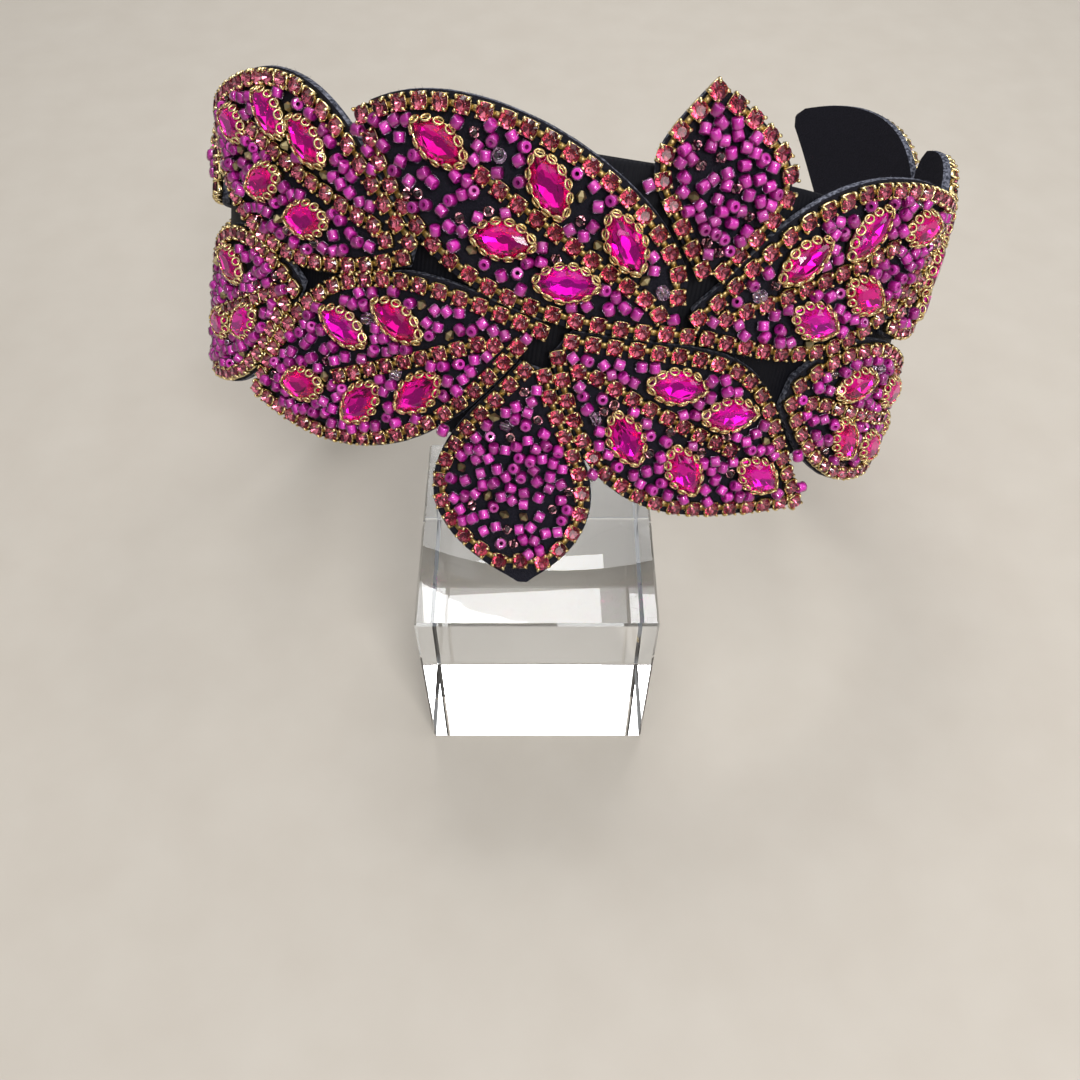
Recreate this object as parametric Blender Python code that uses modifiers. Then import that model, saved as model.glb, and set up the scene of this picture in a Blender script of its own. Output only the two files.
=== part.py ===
"""A jewelled headband of black felt leaves, resting on a clear display block.

Lengths in the tables are millimetres, and MM turns them into Blender's metres.
+X is to the right of someone who faces the band's front, +Y runs back along its
legs and +Z is up. The origin is the middle of the block's underside.

The band is a curved strip. A place on it is a pair (u, v): u runs along the band
from the middle of its design, and v runs across it, up towards the crown's edge.
A third number, the lift, is the height above the strip in which the stones lie.
"""
import math

import bmesh
import bpy
from mathutils import Matrix, Vector

MM = 0.001
GAP = 0.3                    # clearance between pieces that touch on the real one

# The display block
BLOCK_SIDE = 50.0
BLOCK_CHAMFER = 0.5

# The arch, seen along its own axis: bend is one over the radius
CROWN_RADIUS = 100.0
LEG_RADIUS = 200.0
SHOULDER_AT = 101.0          # distance along the band from the arch's middle
SHOULDER_SPREAD = 17.0
SHOULDER_BEND = 0.027
SHOULDER_BLEND = 8.0
ARM_LENGTH = 178.0           # from the arch's middle to either end
STEP = 0.5                   # step along the band when its curve is added up

# How the band leans on the block
LEAN_BACK = math.radians(26.0)
ROLL = math.radians(4.0)
TURN = math.radians(-11.5)
CROWN_POINT = Vector((-2.9, 10.5, 98.1))
DESIGN_SHIFT = 17.8          # the design's middle, right of the arch's middle

# Layers, from the stones' level inwards
FELT_TOP = -2.4
FELT_THICKNESS = 1.6
FELT_EDGE = 1.9              # felt that shows outside a chain
TIP_EDGE = 0.8               # and outside its turn at a point that carries nothing
PETAL_EDGE = 1.0             # and round the upper petal
BLUNT = 0.5                  # half width of a leaf's cut tip, as a share of its edge
RIM_SAMPLES = 80             # points on a leaf's side when its neighbours are sought
CORE_TOP = FELT_TOP - FELT_THICKNESS - GAP
CORE_THICKNESS = 2.0
CORE_STEP = 5.0
CORE_ARM = 5.0               # half width on the legs
CORE_RISE_UP = 26.0          # what the front adds above and below that
CORE_RISE_DOWN = 22.0
CORE_FRONT = 85.0            # the wide front ends this far from the design's middle
CORE_ROUND = 6.0             # length of an arm's rounded end

# Cup chain
CHAIN_RADIUS = 1.3
CHAIN_STEP = 6.5
CHAIN_TURN = 2.7             # how far a chain's turn stays short of a leaf's point
ROWS = 13
COLUMNS = 4

# Pointed oval stones in their settings
STONE_LENGTH = 13.2
STONE_WIDTH = 7.5
STONE_SIDES = 12
STONE_LAYERS = (             # height above the felt, share of the setting's outline
    (0.0, 0.86),
    (0.7, 1.00),
    (1.9, 0.97),
    (2.1, 0.86),
    (3.5, 0.50),
)

# Leaves. Each side of a leaf is one Bezier curve from its root to its point, and
# the columns are: name, upper side's root and two pulls, the point, lower side's
# two pulls (nearest the point first) and root, then the centre vein's two ends.
# The upper side of a petal is its left one.
LEAVES = (
    ("petal_top", (14, 14.5), (2, 31), (-2, 29), (9.8, 44.4),
     (38, 32), (26, 26), (18, 14.5), None, None),
    ("petal_bottom", (-16, -9), (-24, -22), (-46, -41), (-10, -50),
     (11, -36), (-8, -23), (-12, -9.5), None, None),
    ("front_left_upper", (10.5, 9), (11, 22), (-28, 45.5), (-54.3, 30.4),
     (-39, 2), (-14, 1), (14, 2), (7, 6.5), (-29, 24.5)),
    ("front_left_lower", (-14, -1), (-44, 6), (-64, 6.5), (-82, -31.2),
     (-56, -36), (-37, -35), (-18, -5), (-23, -4.5), (-56, -20)),
    ("front_right_upper", (15.5, 5.5), (29, 19), (35, 40.5), (80, 28.5),
     (54, -8), (36, 0), (18, 1.8), (21, 6), (57, 21)),
    ("front_right_lower", (-8, -2), (37, -1), (29, -4), (50, -33.5),
     (27, -33), (2, -43), (-10, -5.5), (-5, -7), (29, -21)),
    ("side_left_upper", (-41.8, 10.2), (-59.6, 24.5), (-66, 45), (-108, 23.5),
     (-98, 4), (-72, -6), (-43, 7), (-47, 10.5), (-86, 22)),
    ("side_left_lower", (-70, -5.5), (-86, 6), (-114, 4), (-117, -36),
     (-86, -35), (-82, -23), (-72.5, -9.5), (-76, -8), (-102, -20)),
    ("side_right_upper", (67, 8), (78, 15), (86, 40), (103, 35),
     (99, 2), (76, 0), (66, 4.5), (70, 8), (90, 22)),
    ("side_right_lower", (42, -7), (56, 6), (78, 2), (102, -26),
     (64, -35), (52, -27), (41, -11), (47, -10.5), (77, -17.8)),
    ("rear_left_upper", (-108, 10), (-118, 20), (-130, 30), (-158, 20),
     (-143, -1), (-126, -2), (-110, 6), (-113, 8), (-140, 14)),
    ("rear_left_lower", (-124, -6), (-150, 1), (-182, -12), (-184, -50),
     (-146, -46), (-134, -30), (-126, -10), (-131, -11), (-166, -33)),
    ("rear_right_upper", (101, 7), (98, 31), (118, 48), (158, 37),
     (143, 24), (123, -2), (104, 4), (108, 8), (138, 28)),
    ("rear_right_lower", (108, -6), (130, -1), (154, -16), (152, -46),
     (128, -42), (115, -26), (109, -10), (113, -11), (139, -31)),
)

# The points that carry the band, and the height of what they rest on
RESTS_ON = {
    "petal_bottom": BLOCK_SIDE + 0.2,    # its bent face reaches a little lower
    "rear_left_lower": 0.0,
    "rear_right_lower": 0.0,
}

# The lower petal bends forward below this v, as the square of the distance from it
PETAL_BENDS_AT = -26.0
PETAL_BEND = 0.007

# Stones: leaf, then u, v and the angle of the long axis in degrees
STONES = (
    ("front_left_upper", -37.6, 28.6, -25),
    ("front_left_upper", -16.4, 25.0, -57),
    ("front_left_upper", -23.4, 14.4, 2),
    ("front_left_upper", -1.2, 17.4, -54),
    ("front_left_upper", -10.6, 8.7, 6),
    ("front_left_lower", -55.2, -9.4, -18),
    ("front_left_lower", -42.8, -5.0, -24),
    ("front_left_lower", -36.9, -18.2, 47),
    ("front_left_lower", -49.8, -23.8, 52),
    ("front_left_lower", -65.6, -24.6, 13),
    ("front_right_upper", 34.6, 18.0, 43),
    ("front_right_upper", 48.4, 23.8, 54),
    ("front_right_upper", 40.8, 6.6, -16),
    ("front_right_upper", 52.2, 11.8, -22),
    ("front_right_upper", 64.8, 25.0, 4),
    ("front_right_lower", 14.1, -7.9, 0),
    ("front_right_lower", 6.0, -19.6, -56),
    ("front_right_lower", 26.6, -13.0, 6),
    ("front_right_lower", 19.4, -25.4, -55),
    ("front_right_lower", 37.0, -26.4, -31),
    ("side_left_upper", -67.4, 23.3, -33),
    ("side_left_upper", -79.2, 26.4, -33),
    ("side_left_upper", -80.6, 13.3, 25),
    ("side_left_upper", -66.6, 9.0, 9),
    ("side_left_upper", -94.2, 22.0, -8),
    ("side_right_lower", 58.2, -7.2, 12),
    ("side_right_lower", 60.0, -19.7, -50),
    ("side_right_lower", 75.2, -10.8, -12),
    ("side_right_lower", 72.6, -23.4, -30),
    ("side_right_lower", 86.4, -21.6, -16),
)

FINISHES = {                 # colour, roughness, metallic
    "clear_glass": ((0.92, 0.96, 0.98), 0.03, 0.0),
    "black_satin": ((0.012, 0.012, 0.014), 0.45, 0.0),
    "black_felt": ((0.015, 0.015, 0.017), 0.95, 0.0),
    "gold_cups": ((0.83, 0.60, 0.27), 0.28, 1.0),
    "pink_stone": ((0.80, 0.02, 0.25), 0.08, 0.0),
}


# The curved strip

def bend_at(distance):
    """One over the arch's radius, at a distance along it from its middle."""
    away = abs(distance)
    on_leg = 1.0 / (1.0 + math.exp((SHOULDER_AT - away) / SHOULDER_BLEND))
    shoulder = math.exp(-((away - SHOULDER_AT) / SHOULDER_SPREAD) ** 2)
    plain = (1.0 - on_leg) / CROWN_RADIUS + on_leg / LEG_RADIUS
    return plain + SHOULDER_BEND * shoulder


def add_up_arch():
    """Plan points (x, y, heading) every STEP from the arch's middle to past an end."""
    x, y, heading = 0.0, 0.0, 0.0
    points = [(x, y, heading)]
    for i in range(int((ARM_LENGTH + 40.0) / STEP)):
        turn = bend_at((i + 0.5) * STEP) * STEP
        x += math.cos(heading + turn / 2) * STEP
        y += math.sin(heading + turn / 2) * STEP
        heading += turn
        points.append((x, y, heading))
    return points


ARCH = add_up_arch()
POSE = (Matrix.Rotation(TURN, 3, "Z")
        @ Matrix.Rotation(ROLL, 3, "Y")
        @ Matrix.Rotation(-LEAN_BACK, 3, "X"))


def plan(distance):
    """The arch's plan point and heading at a signed distance from its middle."""
    place = abs(distance) / STEP
    i = min(int(place), len(ARCH) - 2)
    part = place - i
    x, y, heading = (a + (b - a) * part for a, b in zip(ARCH[i], ARCH[i + 1]))
    side = 1.0 if distance >= 0 else -1.0
    return side * x, y, side * heading


def frame_at(u, v, lift):
    """Place on the strip, with its directions along, across and out, in mm."""
    x, y, heading = plan(u + DESIGN_SHIFT)
    along = POSE @ Vector((math.cos(heading), math.sin(heading), 0.0))
    out = POSE @ Vector((math.sin(heading), -math.cos(heading), 0.0))
    across = POSE @ Vector((0.0, 0.0, 1.0))
    middle = CROWN_POINT + POSE @ Vector((x, y, v))
    return middle + out * lift, along, across, out


def on_band(u, v, lift):
    return frame_at(u, v, lift)[0]


# Leaf outlines

def bezier(a, b, c, d, t):
    s = 1.0 - t
    return a * s ** 3 + b * (3 * s * s * t) + c * (3 * s * t * t) + d * t ** 3


class Leaf:
    """A leaf's two sides as curves on the strip, and its vein."""

    def __init__(self, row):
        name, *marks = row
        pairs = [Vector(m) if m else None for m in marks]
        root_a, pull_a1, pull_a2, point, pull_b2, pull_b1, root_b, vein_a, vein_b = pairs
        self.name = name
        self.sides = ((root_a, pull_a1, pull_a2, point), (root_b, pull_b1, pull_b2, point))
        self.point = point
        self.vein = (vein_a, vein_b) if vein_a else None
        self.edge = PETAL_EDGE if name == "petal_top" else FELT_EDGE
        self.tip_edge = FELT_EDGE if name in RESTS_ON else min(TIP_EDGE, self.edge)
        if name in RESTS_ON:
            self.seat(RESTS_ON[name] + GAP)

    def place(self, u, v, lift):
        """A place on the leaf, which follows the strip apart from the lower petal's bend."""
        if self.name == "petal_bottom":
            lift += PETAL_BEND * max(PETAL_BENDS_AT - v, 0.0) ** 2
        return on_band(u, v, lift)

    def seat(self, height):
        """Slide the point across the strip until the felt's cut tip is at a height."""
        faces = (FELT_TOP, FELT_TOP - FELT_THICKNESS)
        for _ in range(8):
            corners = [self.point + reach for reach in self.tip(FELT_EDGE)]
            lowest = min(self.place(*corner, lift).z for corner in corners for lift in faces)
            self.point.y += height - lowest

    def at(self, side, t):
        return bezier(*self.sides[side], t)

    def outward(self, side, t):
        """Unit direction away from the leaf, square to a side."""
        near = self.at(side, min(t + 0.01, 1.0)) - self.at(side, max(t - 0.01, 0.0))
        away = Vector((-near.y, near.x)).normalized()
        other = self.at(1 - side, t) if t < 0.97 else self.at(1 - side, 0.9)
        return away if away.dot(self.at(side, min(t, 0.97)) - other) > 0 else -away

    def tip(self, margin):
        """From the point to the two corners of the felt's cut tip."""
        way = (self.point - (self.at(0, 0.0) + self.at(1, 0.0)) / 2).normalized()
        square = Vector((-way.y, way.x))
        if square.dot(self.at(0, 0.8) - self.at(1, 0.8)) < 0:
            square = -square
        return [(way + square * BLUNT * sign) * margin for sign in (1, -1)]


leaves = [Leaf(row) for row in LEAVES]


def rim(leaf):
    """Points close together all round a leaf's outline."""
    shares = [i / RIM_SAMPLES for i in range(RIM_SAMPLES + 1)]
    root = [leaf.at(0, 0.0).lerp(leaf.at(1, 0.0), share) for share in (0.25, 0.5, 0.75)]
    return [leaf.at(side, t) for side in (0, 1) for t in shares] + root


rims = {leaf.name: rim(leaf) for leaf in leaves}


def felt_margin(leaf, place):
    """Felt outside the chain: less where another leaf lies beside it."""
    nearest = min((place - other).length
                  for name, points in rims.items() if name != leaf.name
                  for other in points)
    return min(leaf.edge, nearest / 2 - GAP)


# Objects

def collection(name):
    made = bpy.data.collections.new(name)
    bpy.context.scene.collection.children.link(made)
    return made


def material(name):
    colour, roughness, metallic = FINISHES[name]
    made = bpy.data.materials.new(name)
    made.use_nodes = True
    shader = made.node_tree.nodes["Principled BSDF"]
    shader.inputs["Base Color"].default_value = (*colour, 1.0)
    shader.inputs["Roughness"].default_value = roughness
    shader.inputs["Metallic"].default_value = metallic
    made.diffuse_color = (*colour, 1.0)
    return made


def new_object(name, data, finish):
    made = bpy.data.objects.new(name, data)
    parts.objects.link(made)
    if not data.materials:
        data.materials.append(finishes[finish])
    return made


def new_mesh(name, bm):
    bmesh.ops.recalc_face_normals(bm, faces=bm.faces)
    mesh = bpy.data.meshes.new(name)
    bm.to_mesh(mesh)
    bm.free()
    return mesh


def thicken(obj, thickness):
    solid = obj.modifiers.new("thickness", "SOLIDIFY")
    solid.thickness = thickness * MM
    solid.offset = 0.0
    solid.use_even_offset = True


def grid(name, rows):
    """A sheet from rows of points in millimetres."""
    bm = bmesh.new()
    verts = [[bm.verts.new(place * MM) for place in row] for row in rows]
    for low, high in zip(verts, verts[1:]):
        for i in range(len(low) - 1):
            bm.faces.new((low[i], low[i + 1], high[i + 1], high[i]))
    return new_mesh(name, bm)


def display_block():
    bpy.ops.mesh.primitive_cube_add(size=BLOCK_SIDE * MM,
                                    location=(0, 0, BLOCK_SIDE / 2 * MM))
    block = bpy.context.active_object
    block.name = block.data.name = "display_block"
    for owner in block.users_collection:
        owner.objects.unlink(block)
    parts.objects.link(block)
    block.data.materials.append(finishes["clear_glass"])
    edge = block.modifiers.new("chamfer", "BEVEL")
    edge.width = BLOCK_CHAMFER * MM
    edge.segments = 1


def core_reach(u):
    """How far the core reaches up and down at a place along the band."""
    front = 1.0 - min(abs(u) / CORE_FRONT, 1.0) ** 3.5
    to_end = ARM_LENGTH - abs(u + DESIGN_SHIFT)
    end = math.sqrt(max(1.0 - max(1.0 - to_end / CORE_ROUND, 0.0) ** 2, 0.04))
    return (CORE_ARM + CORE_RISE_UP * front) * end, (CORE_ARM + CORE_RISE_DOWN * front) * end


def band_core():
    """The stiff satin band behind the leaves."""
    count = round(2 * ARM_LENGTH / CORE_STEP)
    rows = []
    for i in range(count + 1):
        u = -ARM_LENGTH - DESIGN_SHIFT + i * 2 * ARM_LENGTH / count
        up, down = core_reach(u)
        lift = CORE_TOP - CORE_THICKNESS / 2
        rows.append([on_band(u, v, lift) for v in (-down, up)])
    core = new_object("band_core", grid("band_core", rows), "black_satin")
    thicken(core, CORE_THICKNESS)


def felt_backing(leaf):
    """The leaf cut from felt, a little wider than the chain round it."""
    lift = FELT_TOP - FELT_THICKNESS / 2
    shares = [j / COLUMNS for j in range(COLUMNS + 1)]
    rows = []
    for i in range(ROWS + 1):
        ends = []
        for side in (0, 1):
            place = leaf.at(side, i / ROWS)
            ends.append(place + leaf.outward(side, i / ROWS) * felt_margin(leaf, place))
        rows.append(ends)
    margin = min(felt_margin(leaf, leaf.point), leaf.tip_edge)
    rows[-1] = [leaf.point + reach for reach in leaf.tip(margin)]
    rows = [[leaf.place(*a.lerp(b, share), lift) for share in shares] for a, b in rows]
    name = "felt_" + leaf.name
    felt = new_object(name, grid(name, rows), "black_felt")
    thicken(felt, FELT_THICKNESS)


def spaced(path, step):
    """Points at even distances along a path."""
    lengths = [0.0]
    for a, b in zip(path, path[1:]):
        lengths.append(lengths[-1] + (b - a).length)
    count = max(round(lengths[-1] / step), 1)
    out, i = [], 0
    for k in range(count + 1):
        goal = lengths[-1] * k / count
        while i < len(path) - 2 and lengths[i + 1] < goal:
            i += 1
        part = (goal - lengths[i]) / (lengths[i + 1] - lengths[i])
        out.append(path[i].lerp(path[i + 1], min(part, 1.0)))
    return out


def tube(name, leaf, path):
    """A cup chain's plain outer form along a path on a leaf."""
    lift = FELT_TOP + GAP + CHAIN_RADIUS
    curve = bpy.data.curves.new(name, "CURVE")
    curve.dimensions = "3D"
    curve.bevel_depth = CHAIN_RADIUS * MM
    curve.bevel_resolution = 2
    curve.use_fill_caps = True
    spline = curve.splines.new("POLY")
    spline.points.add(len(path) - 1)
    for point, place in zip(spline.points, path):
        point.co = (*(leaf.place(place.x, place.y, lift) * MM), 1.0)
    return new_object(name, curve, "gold_cups")


def as_mesh(curve_object):
    """The same object as a closed mesh, with its caps welded on."""
    name = curve_object.name
    depsgraph = bpy.context.evaluated_depsgraph_get()
    mesh = bpy.data.meshes.new_from_object(curve_object.evaluated_get(depsgraph))
    bm = bmesh.new()
    bm.from_mesh(mesh)
    bmesh.ops.remove_doubles(bm, verts=bm.verts, dist=0.00001)
    bm.to_mesh(mesh)
    bm.free()
    place = curve_object.matrix_world.copy()
    bpy.data.objects.remove(curve_object)
    made = new_object(name, mesh, "gold_cups")
    made.matrix_world = place
    return made


def side_path(leaf, side):
    """A leaf's side, ending short of its point so that the chain can turn there."""
    fine = [leaf.at(side, i / 60) for i in range(61)]
    while (fine[-1] - leaf.point).length < CHAIN_TURN:
        fine.pop()
    return spaced(fine, CHAIN_STEP)


def leaf_chain(leaf):
    """The chain round a leaf, with its centre vein soldered on."""
    name = "chain_" + leaf.name
    rim = tube(name, leaf, side_path(leaf, 0) + side_path(leaf, 1)[::-1])
    if not leaf.vein:
        return
    rim = as_mesh(rim)
    start = leaf.at(1, 0.05)
    path = [start] + spaced(list(leaf.vein), CHAIN_STEP)
    vein = as_mesh(tube(name + "_vein", leaf, path))
    parts.objects.unlink(vein)
    cutters.objects.link(vein)
    vein.hide_render = True
    vein.display_type = "WIRE"
    join = rim.modifiers.new("vein", "BOOLEAN")
    join.operation = "UNION"
    join.object = vein


def stone_outline(i):
    """A point of the pointed oval, as shares of half its length and width."""
    angle = 2 * math.pi * i / STONE_SIDES
    half_length, half_width = STONE_LENGTH / 2, STONE_WIDTH / 2
    radius = (half_length ** 2 + half_width ** 2) / (2 * half_width)
    x = half_length * math.cos(angle)
    y = math.sqrt(radius ** 2 - x ** 2) - (radius - half_width)
    return x, math.copysign(y, math.sin(angle))


def stone_mesh():
    """A pointed oval stone with a table and bevel facets, fused to its setting."""
    bm = bmesh.new()
    blunt = 0.25             # half the width left at each point
    rings = []
    for height, share in STONE_LAYERS:
        ring = []
        for i in range(STONE_SIDES):
            x, y = stone_outline(i + 0.5)
            y = math.copysign(max(abs(y), blunt), y)
            ring.append(bm.verts.new(Vector((x * share, y * share, height)) * MM))
        rings.append(ring)
    for low, high in zip(rings, rings[1:]):
        for i in range(STONE_SIDES):
            j = (i + 1) % STONE_SIDES
            bm.faces.new((low[i], low[j], high[j], high[i]))
    bm.faces.new(rings[0][::-1])
    bm.faces.new(rings[-1])
    return new_mesh("set_stone", bm)


def set_stones():
    shared = stone_mesh()
    shared.materials.append(finishes["pink_stone"])
    counts = {}
    for leaf_name, u, v, degrees in STONES:
        counts[leaf_name] = counts.get(leaf_name, 0) + 1
        name = f"stone_{leaf_name}_{counts[leaf_name]}"
        stone = new_object(name, shared, "pink_stone")
        place, along, across, out = frame_at(u, v, FELT_TOP + GAP)
        turned = Matrix((along, across, out)).transposed().to_4x4()
        turned = turned @ Matrix.Rotation(math.radians(degrees), 4, "Z")
        stone.matrix_world = Matrix.Translation(place * MM) @ turned


for old in list(bpy.data.objects):
    bpy.data.objects.remove(old)

parts = collection("jewelled_headband")
cutters = collection("cutters")
finishes = {name: material(name) for name in FINISHES}

display_block()
band_core()
for one_leaf in leaves:
    felt_backing(one_leaf)
    leaf_chain(one_leaf)
set_stones()
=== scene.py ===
# %% [markdown]
# A jewelled headband, standing on a clear glass block. Leaves cut from black felt are
# outlined with gold cup chain and filled with set stones and seed beads. The packed
# solids give the size and place of everything, and this lesson dresses them.
#
# Nearly all of the work is repetition: about 560 cups, sixty set stones and nine
# hundred beads. Each small thing is modelled once, in plain Python lists, and then
# copied along curves and over leaves into a few joined meshes.

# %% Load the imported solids
import math
import random

import bpy
import numpy as np
from mathutils import Matrix, Vector


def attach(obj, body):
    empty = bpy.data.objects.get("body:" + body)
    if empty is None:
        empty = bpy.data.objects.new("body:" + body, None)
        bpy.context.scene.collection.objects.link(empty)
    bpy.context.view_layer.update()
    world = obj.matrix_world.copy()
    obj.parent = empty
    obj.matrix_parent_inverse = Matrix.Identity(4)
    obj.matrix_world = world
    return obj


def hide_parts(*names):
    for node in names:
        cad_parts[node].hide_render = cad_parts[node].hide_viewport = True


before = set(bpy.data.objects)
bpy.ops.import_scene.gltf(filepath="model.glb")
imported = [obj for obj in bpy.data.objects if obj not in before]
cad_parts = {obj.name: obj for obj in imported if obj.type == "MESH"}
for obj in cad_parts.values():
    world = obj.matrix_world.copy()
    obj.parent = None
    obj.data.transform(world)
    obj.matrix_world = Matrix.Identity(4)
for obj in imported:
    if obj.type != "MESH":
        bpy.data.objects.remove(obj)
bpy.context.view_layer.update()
MM = 0.001
dice = random.Random(7)

# %% [markdown]
# The headband is a wide strip bent into an arch, and every leaf, stone and bead lies
# on it. So places are given on the flat strip first: u along it and v across it, in
# millimetres, as on a paper pattern. One function then wraps the pattern round the
# arch. The arch's bend changes along its length: gentle at the crown, tight at the
# shoulders and nearly straight on the legs, and adding up small turns draws it.

# %% The arch, from the same sizes as the solids
CROWN_RADIUS = 100.0
LEG_RADIUS = 200.0
SHOULDER_AT = 101.0
SHOULDER_SPREAD = 17.0
SHOULDER_BEND = 0.027
SHOULDER_BLEND = 8.0
ARM_LENGTH = 178.0
PAST_END = 40.0
STEP = 0.5
LEAN_BACK = math.radians(26.0)
ROLL = math.radians(4.0)
TURN = math.radians(-11.5)
CROWN_POINT = Vector((-2.9, 10.5, 98.1))
DESIGN_SHIFT = 17.8


def bend_at(distance):
    """One over the arch's radius, at a distance along it from its middle."""
    away = abs(distance)
    on_leg = 1.0 / (1.0 + math.exp((SHOULDER_AT - away) / SHOULDER_BLEND))
    shoulder = math.exp(-((away - SHOULDER_AT) / SHOULDER_SPREAD) ** 2)
    plain = (1.0 - on_leg) / CROWN_RADIUS + on_leg / LEG_RADIUS
    return plain + SHOULDER_BEND * shoulder


def add_up_arch():
    """Plan points (x, y, heading) from the arch's middle to past an end."""
    x, y, heading = 0.0, 0.0, 0.0
    points = [(x, y, heading)]
    for i in range(int((ARM_LENGTH + PAST_END) / STEP)):
        turn = bend_at((i + 0.5) * STEP) * STEP
        x += math.cos(heading + turn / 2) * STEP
        y += math.sin(heading + turn / 2) * STEP
        heading += turn
        points.append((x, y, heading))
    return points


ARCH = add_up_arch()
POSE = (Matrix.Rotation(TURN, 3, "Z")
        @ Matrix.Rotation(ROLL, 3, "Y")
        @ Matrix.Rotation(-LEAN_BACK, 3, "X"))


def frame_at(u, v, lift):
    """Place on the strip, with its directions along, across and out."""
    distance = u + DESIGN_SHIFT
    place = abs(distance) / STEP
    i = min(int(place), len(ARCH) - 2)
    x, y, heading = (a + (b - a) * (place - i) for a, b in zip(ARCH[i], ARCH[i + 1]))
    if distance < 0:
        x, heading = -x, -heading
    along = POSE @ Vector((math.cos(heading), math.sin(heading), 0.0))
    out = POSE @ Vector((math.sin(heading), -math.cos(heading), 0.0))
    across = POSE @ Vector((0.0, 0.0, 1.0))
    return CROWN_POINT + POSE @ Vector((x, y, v)) + out * lift, along, across, out


def on_band(u, v, lift):
    return frame_at(u, v, lift)[0]


def seat(u, v, lift, turn=0.0, tilt=None):
    """Matrix that stands a small thing on the strip, turned about its own height."""
    place, along, across, out = frame_at(u, v, lift)
    matrix = Matrix.Translation(place) @ Matrix((along, across, out)).transposed().to_4x4()
    matrix = matrix @ Matrix.Rotation(turn, 4, "Z")
    return matrix @ tilt if tilt else matrix


print("arch depth in mm:", round(ARCH[int(ARM_LENGTH / STEP)][1], 1))

# %% [markdown]
# A leaf of this pattern has two long sides that meet in a point. Each side is one
# Bezier curve: a root, two pulls and the point. Four marks describe a side as well as
# dozens of measured points would, and a leaf is easy to adjust by moving a pull.

# %% The leaves' marks
# name, upper side's root and two pulls, point, lower side's two pulls and root,
# then the two ends of the vein, if it has one
LEAVES = (
    ("petal_top", (14, 14.5), (2, 31), (-2, 29), (9.8, 44.4),
     (38, 32), (26, 26), (18, 14.5)),
    ("petal_bottom", (-16, -9), (-24, -22), (-46, -41), (-10, -50),
     (11, -36), (-8, -23), (-12, -9.5)),
    ("front_left_upper", (10.5, 9), (11, 22), (-28, 45.5), (-54.3, 30.4),
     (-39, 2), (-14, 1), (14, 2), (7, 6.5), (-29, 24.5)),
    ("front_left_lower", (-14, -1), (-44, 6), (-64, 6.5), (-82, -31.2),
     (-56, -36), (-37, -35), (-18, -5), (-23, -4.5), (-56, -20)),
    ("front_right_upper", (15.5, 5.5), (29, 19), (35, 40.5), (80, 28.5),
     (54, -8), (36, 0), (18, 1.8), (21, 6), (57, 21)),
    ("front_right_lower", (-8, -2), (37, -1), (29, -4), (50, -33.5),
     (27, -33), (2, -43), (-10, -5.5), (-5, -7), (29, -21)),
    ("side_left_upper", (-41.8, 10.2), (-59.6, 24.5), (-66, 45), (-108, 23.5),
     (-98, 4), (-72, -6), (-43, 7), (-47, 10.5), (-86, 22)),
    ("side_left_lower", (-70, -5.5), (-86, 6), (-114, 4), (-117, -36),
     (-86, -35), (-82, -23), (-72.5, -9.5), (-76, -8), (-102, -20)),
    ("side_right_upper", (67, 8), (78, 15), (86, 40), (103, 35),
     (99, 2), (76, 0), (66, 4.5), (70, 8), (90, 22)),
    ("side_right_lower", (42, -7), (56, 6), (78, 2), (102, -26),
     (64, -35), (52, -27), (41, -11), (47, -10.5), (77, -17.8)),
    ("rear_left_upper", (-108, 10), (-118, 20), (-130, 30), (-158, 20),
     (-143, -1), (-126, -2), (-110, 6), (-113, 8), (-140, 14)),
    ("rear_left_lower", (-124, -6), (-150, 1), (-182, -12), (-184, -50),
     (-146, -46), (-134, -30), (-126, -10), (-131, -11), (-166, -33)),
    ("rear_right_upper", (101, 7), (98, 31), (118, 48), (158, 37),
     (143, 24), (123, -2), (104, 4), (108, 8), (138, 28)),
    ("rear_right_lower", (108, -6), (130, -1), (154, -16), (152, -46),
     (128, -42), (115, -26), (109, -10), (113, -11), (139, -31)),
)
print("leaves with marks:", len(LEAVES))

# %% [markdown]
# Three leaves come down to something: the lower petal to the block's top, and two rear
# leaves to the floor. Their points are slid across the strip until only a hair's gap is
# left. The lower petal's tip also bends forward a little, as it does on the real piece.

# %% One leaf
FELT_TOP = -2.4
FELT_THICKNESS = 1.6
FELT_EDGE = 1.9
TIP_EDGE = 0.8
PETAL_EDGE = 1.0
BLUNT = 0.5
PETAL_BENDS_AT = -26.0
PETAL_BEND = 0.007
GAP = 0.3
BLOCK_TOP = 50.2
RESTS_ON = {"petal_bottom": BLOCK_TOP, "rear_left_lower": 0.0, "rear_right_lower": 0.0}
SLIDES = 8
# shares of the way from the root to the point: where the sides begin to close, where
# they are still well apart, and nearer the root again
CLOSING = 0.97
STILL_APART = 0.9
BROAD = 0.8
# share looked at before and after a place, for the side's direction there
LOOK_AHEAD = 0.01


def bezier(a, b, c, d, t):
    s = 1.0 - t
    return a * s ** 3 + b * (3 * s * s * t) + c * (3 * s * t * t) + d * t ** 3


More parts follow.
